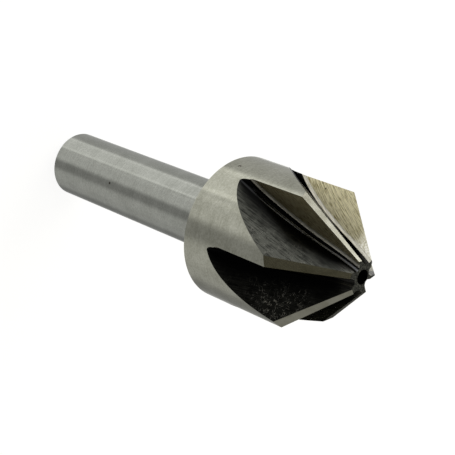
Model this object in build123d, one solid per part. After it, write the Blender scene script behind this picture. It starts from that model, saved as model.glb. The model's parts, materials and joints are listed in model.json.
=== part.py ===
from build123d import *
from math import cos, radians, sin, tan
import os

# A right-hand cutting countersink with six flutes, turned, milled and ground from one bar
# of high-speed steel. Millimetres. The origin is the centre of the shank's end face, on
# which the tool stands, and +Z runs along the axis to the point.

# Driving dimensions of the turned blank
SHANK_DIAMETER = 12.0
SHANK_LENGTH = 45.0          # end face to the back of the head
SHANK_CHAMFER = 0.5
HEAD_DIAMETER = 25.0
HEAD_BODY_LENGTH = 18.7      # back of the head to the outer corners of the cutting edges
HEAD_BACK_CHAMFER = 0.2
CONE_ANGLE = 90.0            # included
TIP_DIAMETER = 6.1           # flat left on the end of the cone
CENTRE_HOLE_DIAMETER = 2.5
CENTRE_HOLE_DEPTH = 5.0
DRILL_POINT_ANGLE = 118.0    # bottom of the centre hole, included

# Driving dimensions of the flutes, as an angle cutter mills them
FLUTE_COUNT = 6
FLUTE_ANGLE = 84.5           # between the rake wall and the back wall, in degrees
ROOT_DISTANCE_AT_TIP = 1.9   # tool axis to the root line, at the tip's end face
ROOT_INCLINATION = 25.0      # root line to the tool axis, in degrees
ROOT_RADIUS = 0.8

# Driving dimensions of the ground faces
RAKE_STEP = 0.3              # ground rake face below the milled rake wall
RAKE_GRIND_INCLINATION = 26.3  # inner border of the ground rake face to the axis, in degrees
RAKE_CORNER_RADIUS = 0.3     # left by the wheel along that border
RELIEF_ANGLE = 18.5          # cone land behind its cutting edge, in degrees

shank_radius = SHANK_DIAMETER / 2
head_radius = HEAD_DIAMETER / 2
tip_radius = TIP_DIAMETER / 2
hole_radius = CENTRE_HOLE_DIAMETER / 2
half_cone = radians(CONE_ANGLE / 2)
corner_z = SHANK_LENGTH + HEAD_BODY_LENGTH
tip_z = corner_z + (head_radius - tip_radius) / tan(half_cone)
hole_floor_z = tip_z - CENTRE_HOLE_DEPTH
drill_point_z = hole_floor_z - hole_radius / tan(radians(DRILL_POINT_ANGLE / 2))


def turned_blank():
    """Shank, head, cone and centre hole, turned about the tool axis."""
    outline = Polyline(
        (0, 0),
        (shank_radius - SHANK_CHAMFER, 0),
        (shank_radius, SHANK_CHAMFER),
        (shank_radius, SHANK_LENGTH),
        (head_radius - HEAD_BACK_CHAMFER, SHANK_LENGTH),
        (head_radius, SHANK_LENGTH + HEAD_BACK_CHAMFER),
        (head_radius, corner_z),
        (tip_radius, tip_z),
        (hole_radius, tip_z),
        (hole_radius, hole_floor_z),
        (0, drill_point_z),
        close=True,
    )
    # The seam of the turned faces lies halfway between two cutting edges, clear of both
    return Rot(0, 0, 180 / FLUTE_COUNT) * revolve(Plane.XZ * make_face(outline), Axis.Z)


def angle_cut(wall, root_radius, inclination):
    """Metal that an angled wheel or cutter removes beside a rake wall, along the root line.

    The section stands square to the path, where the path meets the tip's end face. Its
    local X crosses the flute from the radial plane, with the rake wall at X = wall, and its
    local Y points out of the flute. The path runs from past the tip to past the head.
    """
    back_wall = Vector(sin(radians(FLUTE_ANGLE)), cos(radians(FLUTE_ANGLE)))
    root = Vector(wall, 0)
    corners = [Vector(0, 0), back_wall, back_wall + Vector(0, 1), Vector(0, 1)]
    section = make_face(Polyline([root + c * HEAD_DIAMETER for c in corners], close=True))
    root_corner = section.vertices().sort_by_distance(root)[0]
    section = fillet(root_corner, root_radius)

    slope = radians(inclination)
    across = Plane(
        origin=(ROOT_DISTANCE_AT_TIP, 0, tip_z),
        x_dir=(0, 1, 0),
        z_dir=(sin(slope), 0, -cos(slope)),
    )
    path_length = (head_radius - ROOT_DISTANCE_AT_TIP) / sin(slope)
    overrun = head_radius
    return extrude(across.offset(-overrun) * section, path_length + 2 * overrun)


def land_relief():
    """Metal ground off a cone land, so that it falls away behind its cutting edge."""
    outer = Vector(head_radius, 0, corner_z)
    inner = Vector(tip_radius, 0, tip_z)
    along = (inner - outer).normalized()
    cone_normal = Vector(cos(half_cone), 0, sin(half_cone))
    relief = radians(RELIEF_ANGLE)
    facet_normal = cone_normal * cos(relief) - Vector(0, 1, 0) * sin(relief)
    facet = Plane(origin=(outer + inner) / 2, x_dir=along, z_dir=facet_normal)
    past_ends = 2 * (inner - outer).length
    behind = head_radius
    block = Box(past_ends, behind, behind, align=(Align.CENTER, Align.MIN, Align.MIN))
    return facet * block


def countersink():
    """The blank with every flute, ground rake face and relieved land cut in."""
    flute = angle_cut(RAKE_STEP, ROOT_RADIUS, ROOT_INCLINATION)
    rake_grind = angle_cut(0, RAKE_CORNER_RADIUS, RAKE_GRIND_INCLINATION)
    cutters = [flute, rake_grind, land_relief()]
    pattern = PolarLocations(0, FLUTE_COUNT)
    return turned_blank() - [place * cutter for place in pattern for cutter in cutters]


os.makedirs("parts", exist_ok=True)
export_step(countersink(), "parts/countersink.step")
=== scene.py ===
import json
from math import cos, pi, radians, sin, tan

import bmesh
import bpy
from mathutils import Matrix, Quaternion, Vector


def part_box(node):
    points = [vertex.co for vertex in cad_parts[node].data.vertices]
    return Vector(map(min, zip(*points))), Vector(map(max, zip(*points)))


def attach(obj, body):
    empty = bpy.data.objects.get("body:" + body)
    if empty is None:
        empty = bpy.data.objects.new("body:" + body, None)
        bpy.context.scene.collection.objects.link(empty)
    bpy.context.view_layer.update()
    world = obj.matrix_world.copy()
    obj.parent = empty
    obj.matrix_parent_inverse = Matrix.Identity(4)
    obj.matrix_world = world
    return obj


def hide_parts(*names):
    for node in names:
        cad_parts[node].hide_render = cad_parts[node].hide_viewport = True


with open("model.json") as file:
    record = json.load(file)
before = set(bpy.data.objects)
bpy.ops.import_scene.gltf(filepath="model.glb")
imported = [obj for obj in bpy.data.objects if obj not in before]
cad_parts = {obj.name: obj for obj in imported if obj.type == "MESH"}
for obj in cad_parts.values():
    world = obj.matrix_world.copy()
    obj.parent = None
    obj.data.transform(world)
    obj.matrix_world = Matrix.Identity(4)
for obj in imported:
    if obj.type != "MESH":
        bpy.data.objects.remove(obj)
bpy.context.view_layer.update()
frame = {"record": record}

# The blank is one bar of high-speed steel, turned to a 12 mm shank and a 25 mm head with a
# 90 degree cone and centre-drilled in its tip. After hardening, the shank is ground without
# centres and the head between them, and the tip and its hole keep their dark furnace skin.

MM = 0.001
head_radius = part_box("countersink")[1].x
tip_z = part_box("countersink")[1].z
shank = next(mount for mount in frame["record"]["mounts"] if mount["name"] == "shank")
shank_radius = shank["dims"]["r_mm"] * MM
shank_chamfer = shank["pos_m"][2] - shank["dims"]["length_mm"] * MM / 2
head_back_z = shank["pos_m"][2] + shank["dims"]["length_mm"] * MM / 2
HEAD_BACK_CHAMFER = 0.2 * MM
TIP_RADIUS = 3.05 * MM
HALF_CONE = radians(45)
corner_z = tip_z - (head_radius - TIP_RADIUS) / tan(HALF_CONE)
HOLE_RADIUS = 1.25 * MM
HOLE_DEPTH = 5.0 * MM
DRILL_POINT_HALF = radians(59)
SIDES = 360

# A Mix node's sockets go by number, because their names repeat
SHARE, NUMBER_A, NUMBER_B, COLOUR_A, COLOUR_B = 0, 2, 3, 6, 7
MIXED_NUMBER, MIXED_COLOUR = 0, 2


def colour(hex_text):
    """An sRGB hex colour as the linear one that a socket takes."""
    shares = [int(hex_text[i:i + 2], 16) / 255 for i in (1, 3, 5)]
    return [s / 12.92 if s <= 0.04045 else ((s + 0.055) / 1.055) ** 2.4 for s in shares] + [1]


def add(tree, kind, inputs=None, **settings):
    """A node of a material or the world, with its settings and its inputs, values or links."""
    made = tree.nodes.new("ShaderNode" + kind)
    for name, value in settings.items():
        setattr(made, name, value)
    for name, value in (inputs or {}).items():
        if isinstance(value, bpy.types.NodeSocket):
            tree.links.new(value, made.inputs[name])
        else:
            made.inputs[name].default_value = value
    return made.outputs


def new_material(name):
    """A material with an empty node tree, and that tree."""
    material = bpy.data.materials.new(name)
    material.use_nodes = True
    tree = material.node_tree
    tree.nodes.clear()
    return material, tree


def marked(tree, place, tint, marks):
    """A tint with small round marks on it, each given by its centre, its radius and its
    colour. The edge of a mark is soft."""
    full, gone = 0.6, 1.25
    for centre, radius, hex_text in marks:
        away = add(tree, "VectorMath", {0: place, 1: centre}, operation="DISTANCE")["Value"]
        near = {"Value": away, "From Min": radius * gone, "From Max": radius * full}
        inside = add(tree, "MapRange", near, interpolation_type="SMOOTHSTEP")[0]
        tint = add(tree, "Mix", {
            SHARE: inside, COLOUR_A: tint, COLOUR_B: colour(hex_text),
        }, data_type="RGBA")[MIXED_COLOUR]
    return tint


def ring_ground_steel(name, light, dark, roughness, marks):
    """Bright steel from a grinding wheel that ran round it. The fine rings smear what it
    mirrors along the axis and keep it crisp around it, so it shows long even bands. The
    real rings are about 0.03 mm apart, and they are drawn three times as coarse to show."""
    material, tree = new_material(name)
    place = add(tree, "TexCoord")["Object"]
    ring_spacing = 0.09 * MM
    ring_length = 4 * MM
    rings = add(tree, "Mapping", {
        "Vector": place, "Scale": (1 / ring_length, 1 / ring_length, 1 / ring_spacing),
    })[0]
    scratches = add(tree, "TexNoise", {"Vector": rings, "Scale": 1, "Detail": 3})["Fac"]
    grain_size = 0.35 * MM
    grain = add(tree, "TexNoise", {"Vector": place, "Scale": 1 / grain_size, "Detail": 2})["Fac"]
    cloud_size = 3 * MM
    clouds = add(tree, "TexNoise", {"Vector": place, "Scale": 1 / cloud_size, "Detail": 4})["Fac"]
    fine = add(tree, "Math", {0: scratches, 1: grain}, operation="ADD")[0]
    all_three = add(tree, "Math", {0: fine, 1: clouds}, operation="ADD")[0]
    tone = add(tree, "MapRange", {"Value": all_three, "From Min": 1.15, "From Max": 1.85})[0]
    tint = add(tree, "Mix", {
        SHARE: tone, COLOUR_A: colour(dark), COLOUR_B: colour(light),
    }, data_type="RGBA")[MIXED_COLOUR]
    tint = marked(tree, place, tint, marks)
    ring_depth = 0.0006 * MM
    relief = add(tree, "Bump", {"Height": scratches, "Distance": ring_depth, "Strength": 1})[0]
    unevenness = 0.04
    gloss = add(tree, "MapRange", {
        "Value": clouds, "To Min": roughness - unevenness, "To Max": roughness + unevenness,
    })[0]
    surface = add(tree, "BsdfPrincipled", {
        "Base Color": tint, "Metallic": 1, "Roughness": gloss, "Normal": relief,
        "Anisotropic": 0.88, "Anisotropic Rotation": 0.25,
    })[0]
    add(tree, "OutputMaterial", {"Surface": surface})
    return material


def on_cylinder(radius, turn, height):
    """A point of a turned surface from its angle in degrees and its height in millimetres."""
    return (radius * cos(radians(turn)), radius * sin(radians(turn)), height * MM)


# Each has a nick from handling, and the one on the head shows a bright burr
shank_marks = [(on_cylinder(shank_radius, 111.9, 17.1), 0.24 * MM, "#5C594D")]
head_marks = [
    (on_cylinder(head_radius, 51.3, 47.7), 0.34 * MM, "#6A6558"),
    (on_cylinder(head_radius, 52.1, 47.8), 0.17 * MM, "#D9D6C6"),
]
shank_finish = ring_ground_steel(
    "centreless_ground_steel", light="#CBCDC4", dark="#B1B3AA", roughness=0.15,
    marks=shank_marks,
)
head_finish = ring_ground_steel(
    "cylinder_ground_steel", light="#DADACA", dark="#B6B6A5", roughness=0.15,
    marks=head_marks,
)


def furnace_skin(name, tone_hex, shine_hex, roughness):
    """Steel that kept the dark skin of its hardening: nearly black, with a dull sheen and
    a grainy mottle where the skin is thin."""
    material, tree = new_material(name)
    place = add(tree, "TexCoord")["Object"]
    grain_size = 0.3 * MM
    mottle = add(tree, "TexNoise", {"Vector": place, "Scale": 1 / grain_size, "Detail": 5})["Fac"]
    thin = add(tree, "MapRange", {"Value": mottle, "From Min": 0.4, "From Max": 0.75})[0]
    tint = add(tree, "Mix", {
        SHARE: thin, COLOUR_A: colour(tone_hex), COLOUR_B: colour(shine_hex),
    }, data_type="RGBA")[MIXED_COLOUR]
    skin_depth = 0.01 * MM
    relief = add(tree, "Bump", {"Height": mottle, "Distance": skin_depth, "Strength": 1})[0]
    surface = add(tree, "BsdfPrincipled", {
        "Base Color": tint, "Metallic": 1, "Roughness": roughness, "Normal": relief,
    })[0]
    add(tree, "OutputMaterial", {"Surface": surface})
    return material


tip_finish = furnace_skin("hardened_turned_steel", "#272828", "#70726E", roughness=0.45)
hole_finish = furnace_skin("hardened_drilled_steel", "#1E1D1B", "#34322E", roughness=0.55)


def turned(name, outline, finishes):
    """A closed solid turned about the axis from points (radius, height, finish). Each point's
    finish goes on the surface that leads up to it. The map gives the way around and the
    height."""
    work = bmesh.new()
    lay = work.loops.layers.uv.new("cut")
    turns = [2 * pi * (side + 0.5) / SIDES for side in range(SIDES)]
    rings = []
    for radius, height, _ in outline:
        if radius == 0:
            rings.append([work.verts.new((0, 0, height))] * SIDES)
        else:
            ring = [(radius * cos(turn), radius * sin(turn), height) for turn in turns]
            rings.append([work.verts.new(point) for point in ring])
    for step, (below, above) in enumerate(zip(rings, rings[1:])):
        for side in range(SIDES):
            after = (side + 1) % SIDES
            corners = [below[side], below[after], above[after], above[side]]
            face = work.faces.new(list(dict.fromkeys(corners)))
            face.material_index = finishes.index(outline[step + 1][2])
            for loop in face.loops:
                radius = loop.vert.co.xy.length
                loop[lay].uv = (radius * 2 * pi * side / SIDES, loop.vert.co.z)
    mesh = bpy.data.meshes.new(name)
    work.to_mesh(mesh)
    work.free()
    for finish in finishes:
        mesh.materials.append(finish)
    solid = bpy.data.objects.new(name, mesh)
    bpy.context.scene.collection.objects.link(solid)
    return solid


outline = [
    (0, 0, shank_finish),
    (shank_radius - shank_chamfer, 0, shank_finish),
    (shank_radius, shank_chamfer, shank_finish),
    (shank_radius, head_back_z, shank_finish),
    (head_radius - HEAD_BACK_CHAMFER, head_back_z, head_finish),
    (head_radius, head_back_z + HEAD_BACK_CHAMFER, head_finish),
    (head_radius, corner_z, head_finish),
    (TIP_RADIUS, tip_z, head_finish),
    (HOLE_RADIUS, tip_z, tip_finish),
    (HOLE_RADIUS, tip_z - HOLE_DEPTH, hole_finish),
    (0, tip_z - HOLE_DEPTH - HOLE_RADIUS / tan(DRILL_POINT_HALF), hole_finish),
]
tool = turned("countersink_tool", outline, [shank_finish, head_finish, tip_finish, hole_finish])

# The six flutes are milled with an angle cutter before hardening, so they are black from
# the furnace. Its teeth left fine lines along each flute, and handling has scratched bright
# curls into the skin. Painted shade darkens each root, fading to the skin's grey by the lands.

FLUTES = 6
FLUTE_ANGLE = radians(84.5)
ROOT_DISTANCE_AT_TIP = 1.9 * MM
ROOT_INCLINATION = radians(25)
ROOT_RADIUS = 0.8 * MM
RAKE_STEP = 0.3 * MM
ARC_STEPS = 16


def milled_flute_steel(name, skin_tone, knocks, highlight_height, highlight_bow, highlight_strength):
    """Milled high-speed steel, dark grey from hardening. Painted shade darkens it to black
    beside the root and fades toward the lands. It has lines along the cutter's path, a thin
    painted highlight beside the wheel's groove and curly scratches where other tools have
    knocked it. The real lines are about 0.05 mm apart, drawn at 0.2 mm to show."""
    material, tree = new_material(name)
    place = add(tree, "TexCoord")["Object"]
    path = add(tree, "UVMap", uv_map="cut")[0]
    along, up = add(tree, "SeparateXYZ", {0: path})[:2]

    # The cutter's lines, and the blotches of the skin
    line_spacing = 0.2 * MM
    line_length = 3 * MM
    lines = add(tree, "Mapping", {
        "Vector": path, "Scale": (1 / line_length, 1 / line_spacing, 1),
    })[0]
    marks = add(tree, "TexNoise", {"Vector": lines, "Scale": 1, "Detail": 3})["Fac"]
    blotch_size = 1.1 * MM
    blotches = add(tree, "TexNoise", {
        "Vector": place, "Scale": 1 / blotch_size, "Detail": 4,
    })["Fac"]
    blotch_share = 0.3
    both = add(tree, "Mix", {
        SHARE: blotch_share, NUMBER_A: marks, NUMBER_B: blotches,
    }, data_type="FLOAT")[MIXED_NUMBER]
    mottle = add(tree, "MapRange", {
        "Value": both, "From Min": 0.4, "From Max": 0.6, "To Min": 0.3, "To Max": 1.55,
    })[0]

    # Painted shade blackens the root and fades toward the lands, and it keeps nearer to the root
    # at both ends of the flute
    flute_length = 26.5 * MM
    shade_narrowing_at_tip = 3 * MM
    shade_narrowing_at_end = 4 * MM
    full_shade_width = 2 * MM
    shade_fade_width = 10 * MM
    left = add(tree, "Math", {0: flute_length, 1: along}, operation="SUBTRACT")[0]
    tip_share = add(tree, "Math", {0: shade_narrowing_at_tip, 1: along}, operation="DIVIDE")[0]
    end_share = add(tree, "Math", {0: shade_narrowing_at_end, 1: left}, operation="DIVIDE")[0]
    end_squared = add(tree, "Math", {0: end_share, 1: 2}, operation="POWER")[0]
    nearness = add(tree, "Math", {0: tip_share, 1: end_squared}, operation="ADD")[0]
    width = add(tree, "Math", {0: up, 1: nearness, 2: up}, operation="MULTIPLY_ADD")[0]
    out_of_root_shade = add(tree, "MapRange", {
        "Value": width, "From Min": full_shade_width, "From Max": shade_fade_width,
    }, interpolation_type="SMOOTHSTEP")[0]
    thin = add(tree, "Math", {0: out_of_root_shade, 1: mottle}, operation="MULTIPLY")[0]
    # Painted shade: near-black at the root, mixed into the skin's own grey away from it
    skin_and_root_shade = add(tree, "Mix", {
        SHARE: thin, COLOUR_A: colour("#121212"), COLOUR_B: colour(skin_tone),
    }, data_type="RGBA")[MIXED_COLOUR]

    # Curly scratches follow the contour lines of a noise, and patches of another break them
    curl_size = 1.3 * MM
    contour_gap = 0.16
    curls = add(tree, "TexNoise", {
        "Vector": place, "Scale": 1 / curl_size, "Detail": 1.5, "Distortion": 1.5,
    })["Fac"]
    ridges = add(tree, "Math", {0: curls, 1: contour_gap / 2}, operation="PINGPONG")[0]
    hair = add(tree, "MapRange", {"Value": ridges, "From Min": 0.028, "From Max": 0.008})[0]
    patch_size = 0.8 * MM
    patches = add(tree, "TexNoise", {
        "Vector": place, "Scale": 1 / patch_size, "Detail": 2,
    })["Fac"]
    here = add(tree, "MapRange", {"Value": patches, "From Min": 0.44, "From Max": 0.6})[0]
    broken = add(tree, "Math", {0: hair, 1: here}, operation="MULTIPLY")[0]
    knocked = 0.1
    for centre, radius, amount in knocks:
        away = add(tree, "VectorMath", {0: place, 1: centre}, operation="DISTANCE")["Value"]
        near = {"Value": away, "From Min": radius, "From Max": radius * 0.4, "To Max": amount}
        inside = add(tree, "MapRange", near, interpolation_type="SMOOTHSTEP")[0]
        knocked = add(tree, "Math", {0: knocked, 1: inside}, operation="ADD")[0]
    often = add(tree, "Math", {0: out_of_root_shade, 1: knocked}, operation="MULTIPLY")[0]
    curled = add(tree, "Math", {0: broken, 1: often}, operation="MULTIPLY", use_clamp=True)[0]

    # A painted highlight runs along the groove's edge as a bowed line, bright near the tip and
    # dull toward the other end
    highlight_middle = 15 * MM
    highlight_half_width = 0.1 * MM
    highlight_fade = 0.22 * MM
    dull_share = 0.03
    from_middle = add(tree, "Math", {0: along, 1: highlight_middle}, operation="SUBTRACT")[0]
    squared = add(tree, "Math", {0: from_middle, 1: 2}, operation="POWER")[0]
    highlight_at = add(tree, "Math", {
        0: squared, 1: highlight_bow, 2: highlight_height,
    }, operation="MULTIPLY_ADD")[0]
    off_highlight = add(tree, "Math", {0: up, 1: highlight_at}, operation="SUBTRACT")[0]
    beside = add(tree, "Math", {0: off_highlight}, operation="ABSOLUTE")[0]
    line = add(tree, "MapRange", {
        "Value": beside, "From Min": highlight_fade, "From Max": highlight_half_width,
    })[0]
    highlight_along = add(tree, "MapRange", {
        "Value": along, "From Min": 7 * MM, "From Max": 20.5 * MM,
        "To Min": highlight_strength, "To Max": highlight_strength * dull_share,
    })[0]
    edge_highlight = add(tree, "Math", {0: line, 1: highlight_along}, operation="MULTIPLY")[0]

    # The last millimetres before the tip are rubbed as well
    rubbed_length = 3.5 * MM
    bare_tip = add(tree, "MapRange", {
        "Value": along, "From Min": rubbed_length, "From Max": 0, "To Max": 0.12,
    }, interpolation_type="SMOOTHSTEP")[0]
    tip_rub = add(tree, "Math", {0: bare_tip, 1: mottle}, operation="MULTIPLY")[0]
    # The painted highlight and the real rub at the tip are both drawn like scratches
    highlight_and_tip_rub = add(tree, "Math", {0: edge_highlight, 1: tip_rub}, operation="MAXIMUM")[0]
    scratch_and_highlight = add(tree, "Math", {0: curled, 1: highlight_and_tip_rub}, operation="MAXIMUM")[0]

    tint = add(tree, "Mix", {
        SHARE: scratch_and_highlight, COLOUR_A: skin_and_root_shade, COLOUR_B: colour("#BDBBB1"),
    }, data_type="RGBA")[MIXED_COLOUR]
    # Painted highlight: the line along the groove's edge is tinted a pale blue-grey
    tint = add(tree, "Mix", {
        SHARE: edge_highlight, COLOUR_A: tint, COLOUR_B: colour("#A6ABBA"),
    }, data_type="RGBA")[MIXED_COLOUR]
    line_depth = 0.003 * MM
    relief = add(tree, "Bump", {"Height": marks, "Distance": line_depth, "Strength": 1})[0]
    gloss = add(tree, "MapRange", {"Value": scratch_and_highlight, "To Min": 0.24, "To Max": 0.8})[0]
    surface = add(tree, "BsdfPrincipled", {
        "Base Color": tint, "Metallic": 1, "Roughness": gloss, "Normal": relief,
        "Specular Tint": colour("#484848"),
    })[0]
    add(tree, "OutputMaterial", {"Surface": surface})
    return material


# Where other tools have knocked the flutes: the centre, how far it reaches, and how much
flute_knocks = [
    ((-8.1 * MM, 3.5 * MM, 63.2 * MM), 6.5 * MM, 0.9),
    ((-2.8 * MM, 8.7 * MM, 65.4 * MM), 5.0 * MM, 0.12),
    ((-2.8 * MM, 11.6 * MM, 60.6 * MM), 4.5 * MM, 0.2),
]
flute_finish = milled_flute_steel(
    "milled_hardened_steel", "#4A4A44", flute_knocks, highlight_height=0, highlight_bow=0, highlight_strength=0,
)
# These two carry a painted highlight along the edge of the wheel's groove
highlighted_finish = milled_flute_steel(
    "milled_steel_painted_highlight", "#60615A", flute_knocks,
    highlight_height=0.87 * MM, highlight_bow=-0.0062 / MM, highlight_strength=1,
)
groove_finish = milled_flute_steel(
    "grooved_steel_painted_highlight", "#60615A", [],
    highlight_height=-0.52 * MM, highlight_bow=-0.0018 / MM, highlight_strength=0.5,
)


def prism(name, section, place, stations, finishes, finish_sides, way):
    """A cutter: a closed section (across, out) in the plane of place, carried along its third
    axis through stations (distance, shift outward). finish_sides gives the section's sides
    that leave each finish, and the other sides leave the last one. The map gives the distance
    and the way around the section, which starts at way."""
    work = bmesh.new()
    lay = work.loops.layers.uv.new("cut")
    rings = []
    for along, shift in stations:
        rings.append([work.verts.new(place @ Vector((x, y + shift, along))) for x, y in section])
    last = len(finishes) - 1
    for at, corner in enumerate(section):
        after = (at + 1) % len(section)
        width = (Vector(section[after]) - Vector(corner)).length
        left_by = next((n for n, sides in enumerate(finish_sides) if at in sides), last)
        for step in range(len(stations) - 1):
            near, far = rings[step], rings[step + 1]
            start, stop = stations[step][0], stations[step + 1][0]
            face = work.faces.new([near[at], near[after], far[after], far[at]])
            face.material_index = left_by
            on_map = [(start, way), (start, way + width), (stop, way + width), (stop, way)]
            for loop, uv in zip(face.loops, on_map):
                loop[lay].uv = uv
        way += width
    work.faces.new(rings[0])
    work.faces.new(rings[-1])
    bmesh.ops.recalc_face_normals(work, faces=work.faces)
    mesh = bpy.data.meshes.new(name)
    work.to_mesh(mesh)
    work.free()
    for finish in finishes:
        mesh.materials.append(finish)
    return mesh


def root_frame(inclination):
    """The frame of a cutter's path along one root line: across the flute, outward, along."""
    across = Vector((0, 1, 0))
    outward = Vector((cos(inclination), 0, sin(inclination)))
    path = Vector((sin(inclination), 0, -cos(inclination)))
    frame_at_root = Matrix((across, outward, path)).transposed().to_4x4()
    frame_at_root.translation = (ROOT_DISTANCE_AT_TIP, 0, tip_z)
    return frame_at_root


def arc(centre, radius, start, stop):
    """Points of an arc in a cutter's section."""
    turns = [start + (stop - start) * step / ARC_STEPS for step in range(ARC_STEPS + 1)]
    return [(centre[0] + radius * cos(t), centre[1] + radius * sin(t)) for t in turns]


REACH = 3 * head_radius
RUN = (-head_radius, 3 * head_radius)
to_centre = ROOT_RADIUS / tan(FLUTE_ANGLE / 2)
flute_root = arc((RAKE_STEP + ROOT_RADIUS, to_centre), ROOT_RADIUS, pi, 2 * pi - FLUTE_ANGLE)
back_top = (RAKE_STEP + REACH * sin(FLUTE_ANGLE), REACH * cos(FLUTE_ANGLE))
flute_section = [
    (RAKE_STEP, REACH), *flute_root, back_top, (back_top[0], back_top[1] + REACH),
]
flute_cuts = []
for finish in (flute_finish, highlighted_finish):
    flute_cuts.append(prism(
        "flute_cutter", flute_section, root_frame(ROOT_INCLINATION),
        [(RUN[0], 0), (RUN[1], 0)], [finish], [], way=-REACH,
    ))

# A grinding wheel then cleans the rake face of each tooth, a little below the milled wall.
# It leaves bare champagne-coloured steel with straight lines along the wheel's path, and its
# rounded edge leaves a bowed groove beside the face.

RAKE_INCLINATION = radians(26.3)
WHEEL_EDGE_RADIUS = 0.8 * MM


def wheel_ground_steel(
    name, light, dark, line_spacing, line_length, turn, roughness, smear, tip_rub_and_glint, marks
):
    """Bare steel from a wheel that ran along it: bright and faintly warm, with straight streaks
    that smear what it mirrors across them. Toward the tip it is rubbed over, so that it is
    smoother and leans outward there, and its colour is whitened in flecks as a painted glint.
    The real lines are about 0.03 mm apart, and they are drawn coarse enough to show."""
    material, tree = new_material(name)
    place = add(tree, "TexCoord")["Object"]
    path = add(tree, "UVMap", uv_map="cut")[0]
    along, up = add(tree, "SeparateXYZ", {0: path})[:2]

    # The wheel's streaks, and faint stains
    turned_path = add(tree, "VectorRotate", {
        "Vector": path, "Angle": turn,
    }, rotation_type="Z_AXIS")[0]
    lines = add(tree, "Mapping", {
        "Vector": turned_path, "Scale": (1 / line_length, 1 / line_spacing, 1),
    })[0]
    streaks = add(tree, "TexNoise", {
        "Vector": lines, "Scale": 1, "Detail": 3, "Roughness": 0.6,
    })["Fac"]
    stain_size = 1.5 * MM
    stains = add(tree, "TexNoise", {"Vector": place, "Scale": 1 / stain_size, "Detail": 3})["Fac"]
    stain_share = 0.2
    streaked = add(tree, "Mix", {
        SHARE: stain_share, NUMBER_A: streaks, NUMBER_B: stains,
    }, data_type="FLOAT")[MIXED_NUMBER]
    tone = add(tree, "MapRange", {"Value": streaked, "From Min": 0.39, "From Max": 0.53})[0]
    tint = add(tree, "Mix", {
        SHARE: tone, COLOUR_A: colour(dark), COLOUR_B: colour(light),
    }, data_type="RGBA")[MIXED_COLOUR]

    # The rubbed tip, smoother and leaning, with flecks whitened as a painted glint
    near_tip = add(tree, "MapRange", {
        "Value": along, "From Min": 7 * MM, "From Max": 2.5 * MM, "To Max": tip_rub_and_glint,
    }, interpolation_type="SMOOTHSTEP")[0]
    fleck_size = 0.35 * MM
    flecks = add(tree, "TexNoise", {"Vector": place, "Scale": 1 / fleck_size, "Detail": 2})["Fac"]
    flecked = add(tree, "MapRange", {
        "Value": flecks, "From Min": 0.4, "From Max": 0.58, "To Min": 0.55, "To Max": 1.2,
    })[0]
    rub_and_painted_glint = add(tree, "Math", {
        0: near_tip, 1: flecked,
    }, operation="MULTIPLY", use_clamp=True)[0]
    # Painted glint: the rubbed tip's flecks are whitened toward #FFFDF0
    tint = add(tree, "Mix", {
        SHARE: rub_and_painted_glint, COLOUR_A: tint, COLOUR_B: colour("#FFFDF0"),
    }, data_type="RGBA")[MIXED_COLOUR]
    tint = marked(tree, place, tint, marks)

    line_depth = 0.003 * MM
    relief = add(tree, "Bump", {"Height": streaks, "Distance": line_depth, "Strength": 1})[0]
    lean = tan(radians(14))
    relief = add(tree, "Bump", {
        "Height": up, "Distance": lean, "Strength": rub_and_painted_glint, "Normal": relief,
    })[0]
    unevenness = 0.08
    grooved = add(tree, "MapRange", {
        "Value": streaks, "To Min": roughness + unevenness, "To Max": roughness - unevenness,
    })[0]
    rubbed_roughness = 0.22
    gloss = add(tree, "Mix", {
        SHARE: rub_and_painted_glint, NUMBER_A: grooved, NUMBER_B: rubbed_roughness,
    }, data_type="FLOAT")[MIXED_NUMBER]
    run = add(tree, "Tangent", direction_type="UV_MAP", uv_map="cut")[0]
    surface = add(tree, "BsdfPrincipled", {
        "Base Color": tint, "Metallic": 1, "Roughness": gloss, "Normal": relief,
        "Anisotropic": smear, "Anisotropic Rotation": 0.25, "Tangent": run,
    })[0]
    add(tree, "OutputMaterial", {"Surface": surface})
    return material


# Two pits in the first face, and the dull chipped tip of the last
rake_marks = [
    ((11.49 * MM, 0, 58.02 * MM), 0.14 * MM, "#3A342A"),
    ((12.22 * MM, 0, 56.94 * MM), 0.12 * MM, "#7A735F"),
    ((1.65 * MM, -2.86 * MM, 72.4 * MM), 1.5 * MM, "#96958C"),
    ((1.5 * MM, -2.6 * MM, 73.1 * MM), 0.42 * MM, "#4B4A45"),
]
rake_finish = wheel_ground_steel(
    "face_ground_steel", light="#F9F1C9", dark="#9A8D5A",
    line_spacing=0.13 * MM, line_length=2.6 * MM, turn=radians(8),
    roughness=0.37, smear=0.87, tip_rub_and_glint=0.9, marks=rake_marks,
)
keen_finish = wheel_ground_steel(
    "keen_face_ground_steel", light="#E0D6AC", dark="#A3945E",
    line_spacing=0.15 * MM, line_length=1.2 * MM, turn=radians(8),
    roughness=0.37, smear=0.87, tip_rub_and_glint=0, marks=[],
)
corner_finish = wheel_ground_steel(
    "corner_ground_steel", light="#EEEADA", dark="#BDB8A4",
    line_spacing=0.15 * MM, line_length=2 * MM, turn=0,
    roughness=0.45, smear=0.55, tip_rub_and_glint=0.3, marks=[],
)

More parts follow.
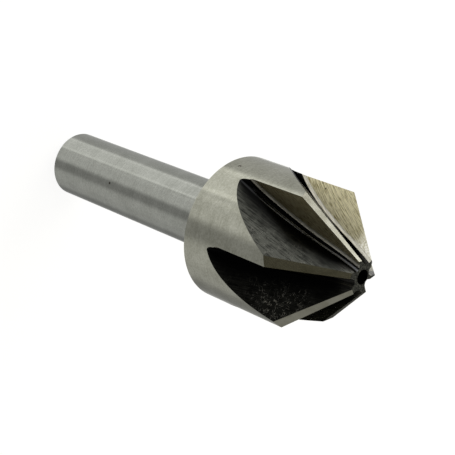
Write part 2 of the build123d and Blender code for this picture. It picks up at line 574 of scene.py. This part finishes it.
# The wheel's path along the root line, in millimetres: the distance from the tip, and how
# far it rides outward. The hand that fed the first tooth held it further out.
FIRST_WHEEL_PATH = [
    (0, 1.05), (2, 0.97), (4, 0.82), (6, 0.68), (8, 0.46), (10, 0.32), (12, 0.18), (14, 0.1),
    (16, 0.07), (18, 0.13), (20, 0.26), (22, 0.48), (24, 0.85), (25, 1.1),
]
WHEEL_PATH = [
    (0, 0.6), (2, 0.63), (4, 0.56), (6, 0.36), (8, 0.2), (10, 0.04), (12, -0.03), (14, -0.08),
    (16, -0.05), (18, 0.02), (20, 0.18), (22, 0.42), (24, 0.95), (25, 1.2),
]
wheel_edge = arc((WHEEL_EDGE_RADIUS, 0), WHEEL_EDGE_RADIUS, pi, 2 * pi)
wheel_section = [(0, REACH), *wheel_edge, (2 * WHEEL_EDGE_RADIUS, REACH)]

# The wheel's flat side leaves the face, and the start of its rounded edge leaves the corner.
# The rest of the groove is mapped just below the flute's root, where the painted shade is
# blackest.
FACE_SIDE = [0]
CORNER_SIDES = range(1, 5)
below_flute_root = 2 * MM
rake_cuts = []
for wheel_path, face_finish, black in (
    (FIRST_WHEEL_PATH, rake_finish, flute_finish),
    (WHEEL_PATH, keen_finish, groove_finish),
    (WHEEL_PATH, rake_finish, flute_finish),
):
    stations = [(along * MM, shift * MM) for along, shift in wheel_path]
    stations = [(RUN[0], stations[0][1]), *stations, (RUN[1], stations[-1][1])]
    rake_cuts.append(prism(
        "rake_wheel", wheel_section, root_frame(RAKE_INCLINATION), stations,
        [face_finish, corner_finish, black], [FACE_SIDE, CORNER_SIDES],
        way=-REACH - below_flute_root,
    ))

# Last, each cone land is ground flat so that it falls away behind its cutting edge. It is
# a little greyer and more even than the rake faces.

RELIEF_ANGLE = radians(18.5)
land_finish = wheel_ground_steel(
    "relief_ground_steel", light="#D1CFBE", dark="#9E9B87",
    line_spacing=0.2 * MM, line_length=0.7 * MM, turn=0,
    roughness=0.25, smear=0, tip_rub_and_glint=0, marks=[],
)
outer = Vector((head_radius, 0, corner_z))
inner = Vector((TIP_RADIUS, 0, tip_z))
edge = (inner - outer).normalized()
cone_normal = Vector((cos(HALF_CONE), 0, sin(HALF_CONE)))
land_normal = cone_normal * cos(RELIEF_ANGLE) - Vector((0, sin(RELIEF_ANGLE), 0))
place = Matrix((edge, land_normal.cross(edge), land_normal)).transposed().to_4x4()
place.translation = (outer + inner) / 2
past = (inner - outer).length
block = [(-past, 0), (past, 0), (past, head_radius), (-past, head_radius)]
land_cut = prism(
    "relief_wheel", block, place, [(0, 0), (head_radius, 0)], [land_finish], [], way=0,
)

# The finished tool is the blank with those three cuts made at each of the six teeth. They
# are fed by hand, so that some flutes and grooves are a little deeper than others, and every
# edge is left sharp.

milled_deeper = {0: 0.15 * MM, 4: 0.5 * MM, 5: 0.3 * MM}
ground_deeper = {3: -0.4 * MM, 4: 0.5 * MM, 5: 0.3 * MM}
inward = Vector((-cos(ROOT_INCLINATION), 0, -sin(ROOT_INCLINATION)))
cutters = []
for tooth in range(FLUTES):
    # The first two teeth have a wheel's cut of their own, and the other four share the third
    rake_cut = rake_cuts[min(tooth, 2)]
    flute_cut = flute_cuts[1] if tooth == 1 else flute_cuts[0]
    for cut, deeper in ((flute_cut, milled_deeper), (rake_cut, ground_deeper), (land_cut, {})):
        cutter = bpy.data.objects.new(f"{cut.name}_{tooth + 1}", cut)
        bpy.context.scene.collection.objects.link(cutter)
        cutter.matrix_world = Matrix.Rotation(2 * pi * tooth / FLUTES, 4, "Z")
        cutter.matrix_world @= Matrix.Translation(inward * deeper.get(tooth, 0))
        cutters.append(cutter)
        step = tool.modifiers.new(cutter.name, "BOOLEAN")
        step.operation = "DIFFERENCE"
        step.object = cutter
        step.solver = "EXACT"
        step.material_mode = "TRANSFER"
weld = tool.modifiers.new("weld", "WELD")
weld.merge_threshold = 0.002 * MM

bpy.context.view_layer.update()
finished = tool.evaluated_get(bpy.context.evaluated_depsgraph_get())
cut_mesh = bpy.data.meshes.new_from_object(finished)
tool.modifiers.clear()
tool.data = cut_mesh
for cutter in cutters:
    bpy.data.objects.remove(cutter)

SHARP_EDGE = radians(18)
cut_mesh.polygons.foreach_set("use_smooth", [True] * len(cut_mesh.polygons))
cut_mesh.set_sharp_from_angle(angle=SHARP_EDGE)
flatten = tool.modifiers.new("flatten", "WEIGHTED_NORMAL")
flatten.keep_sharp = True
flatten.weight = 100

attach(tool, "root")
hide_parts("countersink")

# The floor is a plain pale sheet, white to the camera, that keeps the tool's soft shadow.
# Metal looks through it to the studio around, as the tool does on its light table.

FLOOR_SIZE = 800 * MM
bpy.ops.mesh.primitive_plane_add(size=FLOOR_SIZE)
floor = bpy.context.object
floor.name = "floor"
paper, tree = new_material("floor_paper")
ray = add(tree, "LightPath")
sheet = add(tree, "BsdfDiffuse", {"Color": colour("#9A9A9A")})[0]
glow = add(tree, "Emission", {"Color": (1, 1, 1, 1), "Strength": 0.9})[0]
seen = add(tree, "AddShader", {0: sheet, 1: glow})[0]
either = add(tree, "MixShader", {0: ray["Is Camera Ray"], 1: sheet, 2: seen})[0]
through = add(tree, "BsdfTransparent")[0]
clear = add(tree, "Math", {
    0: ray["Is Glossy Ray"], 1: ray["Is Transmission Ray"],
}, operation="MAXIMUM")[0]
surface = add(tree, "MixShader", {0: clear, 1: either, 2: through})[0]
add(tree, "OutputMaterial", {"Surface": surface})
floor.data.materials.append(paper)

# The studio is a grey room with soft panels around the tool, and its light from overhead is
# faintly warm. The brightest panels stand behind the tool and beside its first tooth, and
# above the floor the camera's side is dark.

world = bpy.data.worlds.new("studio")
bpy.context.scene.world = world
world.use_nodes = True
tree = world.node_tree
tree.nodes.clear()
direction = add(tree, "TexCoord")["Generated"]
height = add(tree, "SeparateXYZ", {0: direction})["Z"]
elevation = add(tree, "Math", {0: height}, operation="ARCSINE")[0]
level = add(tree, "VectorMath", {0: direction, 1: (1, 1, 0)}, operation="MULTIPLY")[0]
bearing = add(tree, "VectorMath", {0: level}, operation="NORMALIZE")[0]


def panel(behind, azimuth, half_width, low, high, soft, strength):
    """The light so far, with a soft-edged panel in front of it. Angles are in degrees."""
    facing = (cos(radians(azimuth)), sin(radians(azimuth)), 0)
    near = add(tree, "VectorMath", {0: bearing, 1: facing}, operation="DOT_PRODUCT")["Value"]
    off = add(tree, "Math", {0: near}, operation="ARCCOSINE")[0]
    centre = radians((low + high) / 2)
    above = add(tree, "Math", {0: elevation, 1: centre}, operation="SUBTRACT")[0]
    rise = add(tree, "Math", {0: above}, operation="ABSOLUTE")[0]
    shares = []
    for angle, half in ((off, half_width), (rise, (high - low) / 2)):
        shares.append(add(tree, "MapRange", {
            "Value": angle,
            "From Min": radians(half + soft / 2), "From Max": radians(half - soft / 2),
        }, interpolation_type="SMOOTHSTEP")[0])
    there = add(tree, "Math", {0: shares[0], 1: shares[1]}, operation="MULTIPLY")[0]
    return add(tree, "Mix", {
        SHARE: there, NUMBER_A: behind, NUMBER_B: strength,
    }, data_type="FLOAT")[MIXED_NUMBER]


# Azimuth, half the width, lower edge, upper edge, softness and strength of each panel. An
# edge at -110 is below the floor. A later panel stands in front of the ones before it.
ROOM_LIGHT = 0.5
PANELS = [
    (325, 45, -110, 0, 12, 0.43),
    (288, 12, -110, 0, 8, 1.0),
    (206, 24, -110, 5, 14, 0.41),
    (238, 20, -110, 5, 24, 0.23),
    (165, 20, -110, 5, 16, 0.46),
    (90, 26, -110, 5, 10, 0.56),
    (78, 4, -38.5, -18, 3, 1.0),
    (130, 17, -110, 10, 20, 0.26),
    (95, 41, -6, 10, 5, 0.05),
    (205, 70, -30, 10, 8, 0.24),
    (270, 12, -36, -17, 4, 0.03),
    (110, 52, 8, 100, 10, 0.06),
    (200, 32, 10, 100, 16, 0.24),
    (346, 42, 2, 80, 20, 0.52),
    (39.5, 26.5, -110, -4, 2, 0.75),
    (30, 17, -10, 14, 4, 0.75),
    (18, 4, -110, 14, 2.5, 0.9),
    (61.5, 3, -110, -4, 2.5, 0.9),
]
light = ROOM_LIGHT
for one_panel in PANELS:
    light = panel(light, *one_panel)
ray = add(tree, "LightPath")
WHITE_BACKGROUND = 1.0
seen = add(tree, "Mix", {
    SHARE: ray["Is Camera Ray"], NUMBER_A: light, NUMBER_B: WHITE_BACKGROUND,
}, data_type="FLOAT")[MIXED_NUMBER]
overhead = add(tree, "MapRange", {
    "Value": elevation, "From Min": radians(25), "From Max": radians(42),
})[0]
warmth = add(tree, "Mix", {
    SHARE: overhead, COLOUR_A: (1, 1, 1, 1), COLOUR_B: colour("#FFF8D8"),
}, data_type="RGBA")[MIXED_COLOUR]
sky = add(tree, "Background", {"Color": warmth, "Strength": seen})[0]
add(tree, "OutputWorld", {"Surface": sky})

# The key light is a softbox half a metre away, high beside the first tooth
KEY_AZIMUTH = radians(346)
KEY_ELEVATION = radians(40)
KEY_DISTANCE = 500 * MM
lamp_data = bpy.data.lights.new("key_softbox", "AREA")
lamp_data.shape = "SQUARE"
lamp_data.size = 300 * MM
lamp_data.energy = 0.4
key = bpy.data.objects.new("key_softbox", lamp_data)
bpy.context.scene.collection.objects.link(key)
to_key = Vector((
    cos(KEY_ELEVATION) * cos(KEY_AZIMUTH),
    cos(KEY_ELEVATION) * sin(KEY_AZIMUTH),
    sin(KEY_ELEVATION),
))
key.location = to_key * KEY_DISTANCE
key.rotation_euler = to_key.to_track_quat("Z", "Y").to_euler()

# The camera looks down on the standing tool, rolled so that the tool lies across the frame
# with its shank to the upper left.

AIM = Vector((-0.694, -0.139, 42.789)) * MM
VIEW_AZIMUTH = radians(100.16)
VIEW_ELEVATION = radians(42.326)
VIEW_DISTANCE = 220.147 * MM
VIEW_ROLL = radians(111.941)
camera_data = bpy.data.cameras.new("camera")
camera_data.sensor_width = 36
camera_data.lens = 101.26
camera_data.clip_start = 1 * MM
camera = bpy.data.objects.new("camera", camera_data)
bpy.context.scene.collection.objects.link(camera)
back = Vector((
    cos(VIEW_ELEVATION) * cos(VIEW_AZIMUTH),
    cos(VIEW_ELEVATION) * sin(VIEW_AZIMUTH),
    sin(VIEW_ELEVATION),
))
camera.location = AIM + back * VIEW_DISTANCE
camera.rotation_mode = "QUATERNION"
camera.rotation_quaternion = back.to_track_quat("Z", "Y") @ Quaternion((0, 0, 1), VIEW_ROLL)
bpy.context.scene.camera = camera
bpy.context.scene.view_settings.view_transform = "Standard"

bpy.context.view_layer.update()
